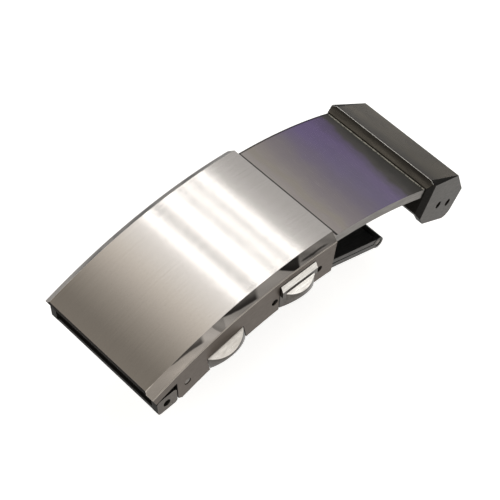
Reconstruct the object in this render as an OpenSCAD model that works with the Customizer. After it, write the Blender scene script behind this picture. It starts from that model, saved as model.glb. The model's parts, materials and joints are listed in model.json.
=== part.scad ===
// Folding clasp of a steel watch bracelet, with an extension that slides out of the cover.
// Lengths are millimetres, angles are degrees. The cover, the frame under it and the extension
// are all curved about one line, the arc axis, which runs across the clasp along Y.
// Places along the clasp are arc lengths on the pin circle. They count from the rear end of
// the cover towards its front end, where the bracelet's other half hooks in.

/* [Cover] */
// Width of the clasp over its side walls
clasp_w = 18; // [16:0.5:22]
// Radius of the cover's top face about the arc axis
top_r = 56; // [52:0.5:62]
// Arc length of the cover
cover_len = 26.8; // [25.5:0.2:31]
// How far the cover's rear end lies past the top of the arc
rear_lead = -1.5; // [-3:0.1:1]
// Thickness of the cover's top
cover_t = 1.1; // [0.9:0.05:1.3]
// Thickness of the side walls
wall_t = 0.8; // [0.7:0.05:1]
// Depth of the side walls below the top face
wall_depth = 5.85; // [5.6:0.05:6.2]
// Width of the bevel along each side of the top
bevel_w = 1; // [0.4:0.1:1.6]
// Height of the bevel along each side of the top
bevel_h = 0.95; // [0.4:0.05:1.2]
// Small bevel on the front edge of the top
lip_bevel = 0.25; // [0.1:0.05:0.4]
// Gap between each side wall's front edge and the fork's ear
notch_gap = 0.15; // [0.12:0.01:0.25]
// Size of the corner that is cut off the front end of each side wall
wall_corner = 0.9; // [0.4:0.05:1]
// Height of the side wall that stays above that cut
notch_depth = 2.25; // [2.15:0.05:2.45]

/* [Pins] */
// Depth of the pin circle below the cover's top face
pin_depth = 3.9; // [3.85:0.05:4.05]
// Diameter of the hinge pin and the two cross pins
pin_d = 0.9; // [0.7:0.05:1]
// Distance from the cover's front end to the hinge pin
hinge_inset = 4.2; // [4.1:0.1:5]
// Distance from the extension buttons to the cross pin on each side of them
cross_pin_spread = 3.47; // [3.45:0.05:3.8]
// How far the ends of the cross pins lie inside the wall's face
cross_pin_recess = 0.5; // [0.2:0.05:0.7]
// How far the ends of the hinge pin lie inside the wall's face
hinge_pin_recess = 0.05; // [0.02:0.01:0.3]
// Diameter of the holes for the bracelet's spring bars
bar_hole_d = 1; // [0.8:0.05:1.2]

/* [Extension] */
// Arc length of the extension that stands out of the cover
reach_len = 16; // [15:0.2:18]
// Arc length of the extension that stays inside the cover
grip_len = 6.4; // [5:0.2:8]
// Thickness of the extension plate
plate_t = 1.3; // [1.1:0.05:1.4]
// Gap between the extension plate and each side wall
plate_side_gap = 0.1; // [0.05:0.01:0.2]
// Distance between the grooves of the locking rack
rack_pitch = 1.8; // [1.2:0.1:2]
// Width of a groove of the locking rack
groove_w = 0.55; // [0.4:0.05:0.7]
// Depth of a groove of the locking rack
groove_depth = 0.35; // [0.2:0.05:0.5]
// Number of grooves of the locking rack
groove_count = 9; // [4:1:9]

// Gap between the cover and the end link when the extension is pushed in
end_gap = 0.25; // [0.15:0.05:0.4]

/* [End link] */
// Width of the end link's sides, carried forward to its front face
link_w = 17.6; // [17:0.1:17.8]
// Angle by which each side draws in towards the rear
link_taper = 7; // [0:0.5:8]
// Width of the end link's front face
link_front_w = 16.5; // [16.3:0.1:17]
// Angle of the bevels beside the front face
link_front_turn = 20; // [10:1:30]
// Depth of the front face's top edge below the cover's top face
link_front_depth = 1.05; // [0.9:0.05:1.1]
// Height of the front face
link_front_h = 3.75; // [3.4:0.05:4]
// Distance from the front face to the top face
link_top_inset = 0.96; // [0.6:0.02:1.2]
// Depth of the top face's front edge below the cover's top face
link_top_depth = 0.27; // [0:0.01:0.5]
// Length of the top face along the clasp
link_top_len = 6.25; // [5.5:0.05:7]
// How much the top face falls towards the rear
link_top_fall = 0.83; // [0:0.01:1]
// Width of the top face
link_top_w = 15.7; // [15:0.1:15.9]
// Width of the wedge ground beside the top face's front edge
wedge_w = 0.86; // [0.4:0.02:1]
// Height of the wedge ground beside the top face's front edge
wedge_h = 0.27; // [0.1:0.01:0.5]
// Distance from the front face to the lower rear corner, before it is rounded
link_corner_at = 9.66; // [9.2:0.02:10.4]
// Depth of that corner below the cover's top face
link_corner_depth = 8.46; // [8:0.02:8.6]
// Angle of the end link's lower side against its front face
link_pitch = 12.5; // [5:0.5:15]
// Length of the lower side
link_low_len = 7.3; // [6.8:0.1:7.6]
// Height of the rear face
link_rear_h = 4.3; // [3.8:0.1:4.6]
// Radius of the lower rear corner
link_corner_r = 1.5; // [0.6:0.1:2]
// Thickness of the end link's walls
link_wall = 1; // [0.7:0.05:1.2]
// Thickness of the end link's top at its front edge
link_top_t = 2.1; // [1.9:0.05:2.3]
// Height of the arch in the front wall
link_arch_h = 0.8; // [0.4:0.1:1]
// Width of that arch
link_arch_w = 10; // [6:0.5:12]
// Width of the tenons that hold the plate in the end link
tenon_w = 3; // [2:0.1:4]
// Distance between the tenons
tenon_pitch = 5; // [4.5:0.1:5.5]
// Step above and below the tenons
tenon_step = 0.25; // [0.15:0.05:0.35]
// Length of the tenons' roots inside the plate
tenon_root = 0.6; // [0.3:0.1:1]
// Distance from the end link's front face to its first spring bar hole
first_bar = 5; // [4.4:0.1:5.4]
// Distance between the end link's two spring bar holes
bar_spacing = 2.85; // [2.4:0.05:3.2]
// Depth of the first hole below the cover's top face
link_bar_depth = 4.85; // [4.4:0.05:5.2]

/* [Blades] */
// Thickness of each folding blade
blade_t = 0.65; // [0.6:0.05:0.85]
// Gap between the two folded blades
blade_gap = 0.1; // [0.06:0.01:0.15]
// Width of the blades
blade_w = 14.7; // [13.5:0.1:14.7]
// How far the fold hinge lies behind the cover's rear end
fold_reach = 10.8; // [9:0.1:12]
// Depth of the fold hinge below the cover's top at its rear end
fold_depth = 9.45; // [9.1:0.05:9.8]
// Slope of the blades behind the cover
tail_slope = 11.9; // [9:0.1:15]
// Length of the straight stretch of the blades
tail_len = 7.8; // [6:0.1:9]
// How far the folded blades lie below the hinge pin
hinge_drop = 1.06; // [1:0.02:1.2]
// Outer radius of the upper blade's rolled end on the hinge pin
front_roll_r = 0.75; // [0.7:0.05:0.8]
// Outer radius of the rolled ends on the fold hinge
fold_roll_r = 0.8; // [0.75:0.05:0.95]
// Diameter of the fold hinge pin
fold_pin_d = 0.9; // [0.7:0.05:1]
// Width of the upper blade's rolled end on the fold hinge
fold_roll_w = 6.6; // [4:0.1:9]
// Length of the window in the upper blade
window_len = 7.6; // [7:0.1:9]
// Width of the side rails beside that window
rail_w = 1; // [0.6:0.05:1.05]

// Distance from the hinge pin to that window
window_from_hinge = 1.9; // [1.6:0.1:2.2]
// Gap around the rolled ends on the fold hinge
fold_clear = 0.15; // [0.1:0.01:0.2]
// Gap beside the rolled ends on the fold hinge
fold_side_gap = 0.1; // [0.05:0.01:0.2]

/* [End fork] */
// Distance from the cover's front end to the fork's spring bar hole
fork_bar_inset = 0.95; // [0.8:0.05:1.2]
// Thickness of the fork's ears
ear_t = 0.95; // [0.7:0.05:1]
// Distance from the spring bar hole to the ear's front edge
ear_front = 1.35; // [1.1:0.05:1.5]
// Distance from the spring bar hole to the ear's rear edge
ear_back = 1.5; // [1.1:0.05:1.6]
// Distance from the spring bar hole to the ear's top edge
ear_top = 1.3; // [1:0.05:1.35]
// Distance from the spring bar hole to the underside of the fork's floor
ear_low = 1.265; // [1.1:0.005:1.5]
// Angle between the ears and the cover's front end
ear_turn = 18.6; // [15:0.1:22]
// Radius of the ear's corners
ear_corner_r = 0.45; // [0.2:0.05:0.7]
// Thickness of the fork's floor
floor_t = 0.6; // [0.5:0.05:0.7]
// Length of the floor that lies under the lower blade
floor_lap = 4.2; // [3.5:0.1:4.8]
// Distance from the floor's bend to the lower blade's front end
lower_setback = 0.4; // [0.2:0.1:1]
// How far the floor's front edge lies behind the ears' front edge
floor_setback = 0.15; // [0:0.05:0.4]
// Distance from the lower blade's front end to the fork rivets
fork_rivet_at = 2.8; // [2.5:0.1:3.2]
// Diameter of the fork's and the catch's rivets
rivet_d = 1; // [0.7:0.05:1.2]
// Distance from the clasp's middle to each fork rivet
fork_rivet_y = 4.4; // [3:0.1:6]

/* [Latch catch] */
// Half the length of the catch along the clasp
catch_half = 1.3; // [1.1:0.05:1.5]
// Thickness of the catch's two walls
catch_t = 0.5; // [0.4:0.05:0.55]
// Thickness of the catch's base
catch_base_t = 0.25; // [0.2:0.01:0.28]
// Gap between the catch and the button's arm above it
catch_gap = 0.15; // [0.1:0.01:0.2]
// Height of the bar above the catch's slot
catch_bar_t = 0.33; // [0.25:0.01:0.36]
// Height of the catch's slot
catch_slot_h = 0.54; // [0.5:0.01:0.56]
// Width of the posts beside the catch's slot
catch_post = 0.35; // [0.3:0.05:0.45]
// Distance from the clasp's middle to each catch rivet
catch_rivet_y = 2.5; // [1.8:0.1:3]
// Diameter of the catch rivets' heads
rivet_head_d = 1.4; // [1.2:0.05:1.6]
// Height of the catch rivets' heads
rivet_head_h = 0.15; // [0.1:0.01:0.18]

/* [Buttons] */
// Distance from the rear end of the cover to the extension buttons
extension_button_at = 5.8; // [5.4:0.1:6.4]
// Distance from the hinge pin to the release buttons
release_button_at = 5.85; // [5.6:0.05:6.4]
// Length of a button's lip along the clasp
button_len = 5.4; // [5:0.1:5.5]
// How far a button's lip stands out of the side wall
button_out = 1.25; // [0.9:0.05:1.6]
// Travel of a button when it is pushed
button_travel = 0.6; // [0.4:0.05:0.6]
// Gap between a button and its window in the side wall
button_gap = 0.08; // [0.05:0.01:0.15]
// Depth of the release buttons' top below the cover's top face
release_top_depth = 3.5; // [3.45:0.05:3.6]
// Depth of the extension buttons' bar below the cover's top face
bar_top_depth = 1.85; // [1.6:0.05:2.1]
// How far the extension buttons' bar stands out of the side wall
bar_out = 0.45; // [0.2:0.05:0.6]
// Depth of the extension buttons' lip below the cover's top face
extension_lip_depth = 3.1; // [2.9:0.05:3.3]
// Height of a lip's outer face
lip_face_h = 0.5; // [0.45:0.05:1.3]
// How much a lip's top slopes down to its outer face
lip_drop = 0.4; // [0:0.05:0.6]
// Wire of the button springs
spring_wire_d = 0.2; // [0.15:0.01:0.22]
// Mean diameter of the button springs
spring_d = 1; // [0.95:0.01:1.02]
// Coils of a button spring
spring_turns = 6; // [4:1:8]

// Height of the extension buttons' outer face
extension_face_h = 0.9; // [0.8:0.05:1.5]
// Height of the sloping face along the top of that bar
bar_slope_h = 0.7; // [0.4:0.05:0.9]
// How much shorter the body inside the wall is at each end
body_step = 0.25; // [0.2:0.05:0.3]
// Thickness of the shoulder inside the side wall
shoulder_t = 0.57; // [0.4:0.01:0.58]
// Half the length of the shoulder
shoulder_half = 2.2; // [1.8:0.05:2.4]
// Distance from the clasp's middle to a button's inner end
arm_in = 4.55; // [4.4:0.05:4.7]
// Half the length of a button's inner arm
arm_half = 1.6; // [1.4:0.05:1.7]
// Thickness of a button's inner arm
arm_t = 0.42; // [0.35:0.01:0.45]
// Gap between a button's arm and the frame above it
arm_gap = 0.1; // [0.08:0.01:0.14]
// Thickness of the hook at the inner end of the arm
hook_t = 0.75; // [0.6:0.05:0.8]
// Height of a release button's hook
hook_h = 0.42; // [0.3:0.02:0.45]
// How far that hook reaches towards the catch
hook_reach = 0.14; // [0.1:0.01:0.2]
// Half the length of an extension button's tooth
tooth_half = 0.4; // [0.3:0.05:0.5]
// Diameter of the spindle inside each spring
spindle_d = 0.56; // [0.4:0.02:0.58]
// Distance from a button's middle to its spindle
spindle_x = 1; // [0.9:0.02:1.05]
// Diameter of the spindle's head
spindle_head_d = 1; // [0.8:0.05:1.1]
// Thickness of the spindle's head
spindle_head_t = 0.35; // [0.25:0.05:0.45]

/* [Inner frame] */
// Thickness of the inner frame's plate
frame_t = 0.5; // [0.4:0.05:0.55]
// Gap where a sliding face runs on another
slide_gap = 0.06; // [0.04:0.01:0.08]
// Gap around a pin that turns
running_gap = 0.03; // [0.02:0.01:0.05]
// Gap around a pin that stays put
seat_gap = 0.01; // [0.01:0.01:0.02]
// Thickness of the webs that carry the springs
web_t = 0.7; // [0.5:0.05:0.8]
// Half the length of those webs
web_half_len = 1.9; // [1.7:0.05:2.1]
// Distance from the clasp's middle to the frame's ears
ear_plate_in = 7.6; // [7.5:0.05:7.8]
// Radius of the frame's ears around the pins
pin_ear_r = 0.75; // [0.6:0.05:0.8]
// Distance from the hinge pin to the frame's front edge
frame_front_gap = 0.9; // [0.85:0.05:1.2]
// Distance from the cover's rear end to the frame's rear edge
frame_rear_gap = 0.4; // [0.1:0.1:0.8]
// Distance from the extension plate's inner end to the stop pins
stop_pin_inset = 1.9; // [1.8:0.05:2.2]
// Diameter of the stop pins under the extension plate
stop_pin_d = 1.2; // [1:0.05:1.3]
// Distance from the clasp's middle to each stop pin
stop_pin_y = 6.4; // [6.3:0.05:6.5]

/* [Hidden] */

$fn = 96;
fine = 480;
past = 1;
corner_ease = 0.02;

steel_brushed = [0.66, 0.63, 0.59];
steel_dark = [0.42, 0.39, 0.36];
steel_polished = [0.45, 0.41, 0.46];
steel_bright = [0.88, 0.86, 0.82];
steel_black = [0.2, 0.2, 0.2];

// Faces and walls across the clasp
half_w = clasp_w / 2;
wall_in = half_w - wall_t;
plate_half = wall_in - plate_side_gap;
frame_half = wall_in - slide_gap;

// Radii of the layers from the top down
wall_r = top_r - wall_depth;
under_r = top_r - cover_t;
plate_out_r = under_r - slide_gap;
plate_in_r = plate_out_r - plate_t;
frame_out_r = plate_in_r - slide_gap;
frame_in_r = frame_out_r - frame_t;
frame_mid_r = frame_out_r - frame_t / 2;
pin_r = top_r - pin_depth;

// Angles of the places along the clasp
function turn(arc_length) = arc_length / pin_r * 180 / PI;
rear_a = turn(rear_lead);
front_a = rear_a - turn(cover_len);
hinge_a = front_a + turn(hinge_inset);
release_a = hinge_a + turn(release_button_at);
extension_a = rear_a - turn(extension_button_at);
front_pin_a = extension_a - turn(cross_pin_spread);
rear_pin_a = extension_a + turn(cross_pin_spread);
link_a = rear_a + turn(reach_len);
plate_in_a = rear_a - turn(grip_len);
fork_bar_a = front_a + turn(fork_bar_inset);
travel_a = turn(reach_len - end_gap);

// End link, in its own frame with U along the clasp and V away from the arc axis
link_top_v = top_r - link_top_depth;
link_front_v = top_r - link_front_depth;
link_ceiling_v = link_top_v - link_top_t;
link_forward = [-cos(link_pitch), sin(link_pitch)];
link_upward = [sin(link_pitch), cos(link_pitch)];
link_corner = [link_corner_at, top_r - link_corner_depth];
link_corner_mid = link_corner + link_corner_r * (link_forward + link_upward);
link_rear = link_corner + link_rear_h * link_upward;
link_low = link_corner + link_low_len * link_forward;
link_bar = [first_bar, top_r - link_bar_depth];

// The clasp lies on the end link's lower rear corner and on the front edge of the fork's floor
link_floor_z = link_corner_mid[1] * cos(link_a) - link_corner_mid[0] * sin(link_a) - link_corner_r;
ear_lean = -front_a - ear_turn;
fork_front = ear_front - floor_setback;
fork_floor_z = pin_r * cos(fork_bar_a) - ear_low * cos(ear_lean) - fork_front * sin(ear_lean);
floor_z = min(link_floor_z, fork_floor_z);
front_x = (top_r - lip_bevel) * sin(front_a);
rear_x = link_rear[1] * sin(link_a) + link_rear[0] * cos(link_a);
mid_x = (front_x + rear_x) / 2;

// Folded blades: a straight tail from the fold hinge, then an arc that ends below the hinge pin
function spot(r, a) = [r * sin(a), r * cos(a)];
hinge_pos = spot(pin_r, hinge_a);
fold_pos = [pin_r * sin(rear_a) + fold_reach, top_r * cos(rear_a) - fold_depth];
tail_up = [sin(tail_slope), cos(tail_slope)];
tail_along = [-cos(tail_slope), sin(tail_slope)];
tail_top = fold_pos + tail_len * tail_along;
stack_end = hinge_pos - [0, hinge_drop];
stack_chord = stack_end - tail_top;
stack_r = -(stack_chord * stack_chord) / (2 * (stack_chord * tail_up));
stack_centre = tail_top - stack_r * tail_up;
function stack_a(x) = asin((x - stack_centre[0]) / stack_r);
upper_in_r = stack_r + blade_gap / 2;
upper_out_r = upper_in_r + blade_t;
lower_out_r = stack_r - blade_gap / 2;
lower_in_r = lower_out_r - blade_t;
floor_in_r = lower_in_r - floor_t;

// End fork: its floor leans like its ears
bar_pos = spot(pin_r, fork_bar_a);
fork_along = [cos(ear_lean), sin(ear_lean)];
fork_up = [-sin(ear_lean), cos(ear_lean)];
notch_edge = bar_pos + (ear_back + notch_gap) * fork_along;
notch_lead = notch_edge * fork_up;
wall_end = notch_edge
    + (sqrt(notch_lead * notch_lead - notch_edge * notch_edge + wall_r * wall_r) - notch_lead) * fork_up;
floor_mid_r = floor_in_r + floor_t / 2;
floor_start = bar_pos - (ear_low - floor_t / 2) * fork_up;
floor_offset = floor_start - stack_centre;
floor_lead = floor_offset * fork_along;
floor_len = -floor_lead
    - sqrt(floor_lead * floor_lead - floor_offset * floor_offset + floor_mid_r * floor_mid_r);
floor_join = floor_start + floor_len * fork_along;
floor_join_a = asin((floor_join[0] - stack_centre[0]) / floor_mid_r);
lower_front_x = floor_join[0] + lower_setback;
fork_rivet_x = lower_front_x + fork_rivet_at;

// Buttons, in a frame with X along the clasp, Y across it and Z away from the arc axis
half_len = button_len / 2;
lip_y = half_w + button_out;
lip_back = wall_in + button_travel - plate_side_gap / 2;
body_half = half_len - body_step;
body_in = wall_in - button_gap;
shoulder_in = body_in - shoulder_t;
arm_top_r = frame_in_r - arm_gap;
arm_low_r = arm_top_r - arm_t;
body_low_r = wall_r + button_gap * 2;
spindle_r = frame_in_r - spring_d / 2 - spring_wire_d / 2 - running_gap;
web_low_r = spindle_r - spring_d / 2 - spring_wire_d / 2;
web_half_t = web_t / 2;
head_at = web_half_t + slide_gap;
tooth_top_r = frame_out_r - running_gap;
hook_top_r = arm_low_r - catch_gap - catch_bar_t - slide_gap;
hook_low_r = hook_top_r - hook_h;
catch_in = arm_in + hook_t + hook_reach + slide_gap;
window_half = blade_w / 2 - rail_w;

// Button springs
coil_rings = 8;
coil_sides = 6;
coil_first = web_half_t + spring_wire_d / 2 + running_gap;
coil_last = arm_in - spring_wire_d / 2 - running_gap;
function coil_centre(t) = coil_at(spring_turns, coil_last - coil_first, spring_d / 2, t);
function coil_end(k) = coil_centre(k / (spring_turns * coil_rings));
coil_least_gap = min([
    for (k = [0:(spring_turns - 1) * coil_rings], i = [1:coil_rings])
        norm(coil_end(k + coil_rings / 2 + i) - coil_end(k))
]) - spring_wire_d;
echo(coil_least_gap = coil_least_gap);

// Latch catch, in a frame on the lower blade
catch_top = spot(arm_low_r - catch_gap, release_a) - stack_centre;
catch_a = atan2(catch_top[0], catch_top[1]);
catch_h = norm(catch_top) - lower_out_r;

// Stop pins under the extension plate
stop_a = plate_in_a + turn(stop_pin_inset);

// Flat shape in the XZ plane, drawn as thick as w across the clasp
module across(w, y = 0) {
    translate([0, y, 0])
        rotate([90, 0, 0])
            linear_extrude(w, center = true)
                children();
}

// Section given as radius and place across the clasp, turned about the arc axis
module curved(from_a, to_a) {
    rotate([90, 0, 0])
        rotate([0, 0, 90 - to_a])
            rotate_extrude(angle = to_a - from_a, $fn = fine)
                children();
}

// Plate that is concentric with the arc axis
module curved_plate(from_a, to_a, r_in, r_out, half) {
    curved(from_a, to_a)
        translate([r_in, -half])
            square([r_out - r_in, 2 * half]);
}

// Piece of a flat ring about the origin, for across()
module sector(from_a, to_a, r_in, r_out) {
    intersection() {
        difference() {
            circle(r_out, $fn = fine);
            circle(r_in, $fn = fine);
        }
        polygon([[0, 0], spot(2 * r_out, from_a), spot(2 * r_out, to_a)]);
    }
}

// Rectangle with round corners, between two corners
module round_rect(low, high, r) {
    translate([low[0] + r, low[1]])
        square([high[0] - low[0] - 2 * r, high[1] - low[1]]);
    translate([low[0], low[1] + r])
        square([high[0] - low[0], high[1] - low[1] - 2 * r]);
    for (x = [low[0] + r, high[0] - r])
        for (z = [low[1] + r, high[1] - r])
            translate([x, z])
                circle(r);
}

// Straight rod across the clasp at a place in the XZ plane
module rod(place, r, w, y = 0) {
    translate([place[0], y, place[1]])
        rotate([90, 0, 0])
            cylinder(h = w, r = r, center = true);
}

module both_sides() {
    children();
    mirror([0, 1, 0])
        children();
}

module station(a) {
    rotate([0, a, 0])
        children();
}

module on_stack() {
    translate([stack_centre[0], 0, stack_centre[1]])
        children();
}

module stood() {
    translate([-mid_x, 0, -floor_z])
        children();
}

// Outline in the YZ plane, as thick as 2 * half along the clasp
module along(half) {
    rotate([90, 0, 90])
        linear_extrude(2 * half, center = true)
            children();
}

module box(low, high) {
    translate(low)
        cube(high - low);
}

module side_windows(top) {
    half = half_len + button_gap;
    both_sides()
        box([-half, body_in - past, wall_r - past], [half, half_w + past, top + button_gap]);
}

module pin_holes(r, w) {
    for (a = [hinge_a, front_pin_a, rear_pin_a])
        rod(spot(pin_r, a), r, w);
}

module cover() {
    bevel_r = top_r - bevel_h;
    bevel_y = half_w - bevel_w;
    notch_top = top_r - notch_depth;
    color(steel_brushed)
        stood()
            difference() {
                curved(front_a, rear_a)
                    polygon([
                        [wall_r, half_w], [bevel_r, half_w], [top_r, bevel_y],
                        [top_r, -bevel_y], [bevel_r, -half_w], [wall_r, -half_w],
                        [wall_r, -wall_in], [under_r, -wall_in], [under_r, wall_in], [wall_r, wall_in]
                    ]);
                station(release_a)
                    side_windows(top_r - release_top_depth);
                station(extension_a)
                    side_windows(top_r - bar_top_depth);
                pin_holes(pin_d / 2 + seat_gap, clasp_w + 2 * past);
                across(clasp_w + 2 * past) {
                    intersection() {
                        sector(front_a - turn(hinge_inset), hinge_a, wall_r - past, notch_top);
                        translate(notch_edge)
                            rotate(ear_lean)
                                translate([-2 * hinge_inset, -hinge_inset])
                                    square(2 * hinge_inset);
                    }
                    translate(wall_end)
                        rotate(45 + (ear_lean - hinge_a) / 2)
                            square(wall_corner, center = true);
                }
                station(front_a)
                    across(clasp_w + 2 * past)
                        polygon([[-past, top_r + past], [-past, top_r - lip_bevel - past],
                            [lip_bevel + past, top_r + past]]);
            }
}

module frame_ear(a) {
    across(frame_half - ear_plate_in, (frame_half + ear_plate_in) / 2) {
        translate(spot(pin_r, a))
            circle(pin_ear_r);
        rotate(-a)
            translate([-pin_ear_r, pin_r])
                square([2 * pin_ear_r, frame_mid_r - pin_r]);
    }
}

module spring_web() {
    box([-web_half_len, -web_half_t, web_low_r], [web_half_len, web_half_t, frame_mid_r]);
}

module stop_slot(y) {
    r = stop_pin_d / 2 + slide_gap;
    translate([0, y, 0])
        curved_plate(stop_a - travel_a - turn(r), stop_a + turn(r), frame_in_r - past, frame_out_r + past, r);
}

module inner_frame() {
    color(steel_dark)
        stood()
            difference() {
                union() {
                    curved_plate(hinge_a + turn(frame_front_gap), rear_a - turn(frame_rear_gap),
                        frame_in_r, frame_out_r, frame_half - running_gap);
                    both_sides() {
                        for (a = [hinge_a, front_pin_a, rear_pin_a])
                            frame_ear(a);
                        across(frame_half - ear_plate_in, (frame_half + ear_plate_in) / 2)
                            sector(hinge_a, hinge_a + turn(frame_front_gap + past), pin_r, frame_mid_r);
                    }
                    for (a = [release_a, extension_a])
                        station(a)
                            spring_web();
                }
                pin_holes(pin_d / 2 + seat_gap, clasp_w);
                for (a = [release_a, extension_a])
                    station(a)
                        for (x = [-spindle_x, spindle_x])
                            translate([x, 0, 0])
                                rod([0, spindle_r], spindle_d / 2 + slide_gap, clasp_w / 4);
                for (y = [-stop_pin_y, stop_pin_y])
                    stop_slot(y);
                station(extension_a)
                    both_sides()
                        box([-tooth_half - slide_gap * 2, arm_in - button_travel - slide_gap,
                             frame_in_r - past],
                            [tooth_half + slide_gap * 2, arm_in + hook_t + slide_gap, frame_out_r + past]);
            }
}

module pin(a, recess) {
    color(steel_bright)
        stood()
            rod(spot(pin_r, a), pin_d / 2, clasp_w - 2 * recess);
}

module hinge_pin() {
    pin(hinge_a, hinge_pin_recess);
}

module front_cross_pin() {
    pin(front_pin_a, cross_pin_recess);
}

module rear_cross_pin() {
    pin(rear_pin_a, cross_pin_recess);
}

// Half-moon lip: a section across the clasp, rounded in plan
module lip(top, face_h, from_y) {
    plan_r = (half_len * half_len + button_out * button_out) / (2 * button_out);
    face_top = top - lip_drop;
    intersection() {
        along(half_len)
            polygon([[lip_back, body_low_r], [half_w, body_low_r], [lip_y, face_top - face_h],
                [lip_y, face_top], [from_y, top], [lip_back, top]]);
        translate([0, lip_y - plan_r, body_low_r - past])
            cylinder(h = wall_depth, r = plan_r);
    }
}

// Inner parts of a button that stands out towards +Y
module button_arm(low_r) {
    along(body_half)
        polygon([[body_in, body_low_r], [lip_back + running_gap, body_low_r],
            [lip_back + running_gap, low_r], [body_in, low_r]]);
    box([-shoulder_half, shoulder_in, arm_low_r - arm_t], [shoulder_half, body_in + running_gap, arm_top_r]);
    box([-arm_half, arm_in, arm_low_r], [arm_half, shoulder_in + running_gap, arm_top_r]);
    box([-arm_half, arm_in, hook_low_r], [arm_half, arm_in + hook_t, arm_top_r]);
    translate([-spindle_x, 0, spindle_r])
        rotate([-90, 0, 0]) {
            translate([0, 0, -head_at - spindle_head_t])
                cylinder(h = arm_in + head_at + spindle_head_t + running_gap, d = spindle_d);
            translate([0, 0, -head_at - spindle_head_t])
                cylinder(h = spindle_head_t, d = spindle_head_d);
        }
}

module release_button(turned) {
    top = top_r - release_top_depth;
    color(steel_bright)
        stood()
            station(release_a)
                rotate([0, 0, turned]) {
                    lip(top, lip_face_h, half_w);
                    button_arm(top);
                    box([-tooth_half * 2, arm_in + hook_t - running_gap, hook_low_r],
                        [tooth_half * 2, arm_in + hook_t + hook_reach, hook_top_r]);
                }
}

module release_button_near() {
    release_button(180);
}

module release_button_far() {
    release_button(0);
}

module extension_button(turned) {
    top = top_r - extension_lip_depth;
    bar_top = top_r - bar_top_depth;
    bar_y = half_w + bar_out;
    color(steel_bright)
        stood()
            station(extension_a)
                rotate([0, 0, turned]) {
                    lip(top, extension_face_h, bar_y);
                    along(half_len)
                        polygon([[lip_back, top - lip_drop], [bar_y, top - lip_drop],
                                 [bar_y, bar_top - bar_slope_h],
                            [half_w + button_gap, bar_top], [lip_back, bar_top]]);
                    button_arm(arm_low_r);
                    box([-tooth_half, arm_in, arm_top_r - running_gap],
                        [tooth_half, arm_in + hook_t, tooth_top_r]);
                }
}

module extension_button_near() {
    extension_button(180);
}

module extension_button_far() {
    extension_button(0);
}

// Coil along +Y, swept with a six-sided wire
function coil_at(turns, length, r, t) = [r * cos(360 * turns * t), length * t, r * sin(360 * turns * t)];
function coil_ring(centre, radial, wire) = [
    for (i = [0:coil_sides - 1])
        let (a = 360 * i / coil_sides)
            centre + wire * (cos(a) * radial + sin(a) * [0, 1, 0])
];

module coil(turns, length, r, wire) {
    rings = turns * coil_rings;
    points = [
        for (k = [0:rings])
            let (t = k / rings, centre = coil_at(turns, length, r, t), a = 360 * turns * t)
                each coil_ring(centre, [cos(a), 0, sin(a)], wire)
    ];
    sides = [
        for (k = [0:rings - 1], i = [0:coil_sides - 1])
            let (here = k * coil_sides, next = here + coil_sides, j = (i + 1) % coil_sides)
                each [[here + i, next + i, here + j], [here + j, next + i, next + j]]
    ];
    caps = [
        for (i = [1:coil_sides - 2])
            each [[0, i, i + 1], [rings * coil_sides, rings * coil_sides + i + 1, rings * coil_sides + i]]
    ];
    polyhedron(points = points, faces = concat(sides, caps));
}

module button_spring(a, turned) {
    color(steel_bright)
        stood()
            station(a)
                rotate([0, 0, turned])
                    translate([-spindle_x, coil_first, spindle_r])
                        coil(spring_turns, coil_last - coil_first, spring_d / 2, spring_wire_d / 2);
}

module release_spring_near() {
    button_spring(release_a, 180);
}

module release_spring_far() {
    button_spring(release_a, 0);
}

module extension_spring_near() {
    button_spring(extension_a, 180);
}

module extension_spring_far() {
    button_spring(extension_a, 0);
}

module tenons(gap) {
    for (y = [-tenon_pitch, 0, tenon_pitch])
        box([-tenon_root, y - tenon_w / 2 - gap, plate_in_r + tenon_step - gap],
            [link_wall, y + tenon_w / 2 + gap, plate_out_r - tenon_step + gap]);
}

module extension_plate() {
    color(steel_polished)
        stood()
            difference() {
                union() {
                    curved_plate(plate_in_a, link_a, plate_in_r, plate_out_r, plate_half);
                    station(link_a)
                        tenons(0);
                }
                for (i = [0:groove_count - 1])
                    station(extension_a + i * turn(rack_pitch))
                        both_sides()
                            box([-groove_w / 2, arm_in - button_travel, plate_in_r - past],
                                [groove_w / 2, arm_in + hook_t + slide_gap, plate_in_r + groove_depth]);
                station(stop_a)
                    for (y = [-stop_pin_y, stop_pin_y])
                        translate([0, y, plate_in_r - past])
                            cylinder(h = past + plate_t / 2, d = stop_pin_d + 2 * seat_gap);
            }
}

module stop_pins() {
    low = frame_in_r + running_gap;
    color(steel_bright)
        stood()
            station(stop_a)
                for (y = [-stop_pin_y, stop_pin_y])
                    translate([0, y, low])
                        cylinder(h = plate_in_r + plate_t / 2 - seat_gap - low, d = stop_pin_d);
}

// Wedge of metal that is ground off beside the end link's top face
module edge_wedge() {
    normal = [link_top_fall * wedge_w, link_top_len * wedge_h, link_top_len * wedge_w];
    tilt = acos(normal[2] / norm(normal));
    swing = atan2(normal[1], normal[0]);
    translate([link_top_inset, link_top_w / 2, link_top_v])
        rotate([0, tilt, swing])
            translate([-clasp_w, -clasp_w, 0])
                cube([2 * clasp_w, 2 * clasp_w, wall_depth]);
}

// What lies outside a side of the end link that starts at y and turns outwards
module side_waste(y, turned) {
    translate([0, y, link_corner[1] - past])
        rotate([0, 0, turned])
            translate([-wall_depth, 0, 0])
                cube([wall_depth + clasp_w, wall_depth, clasp_w]);
}

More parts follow.
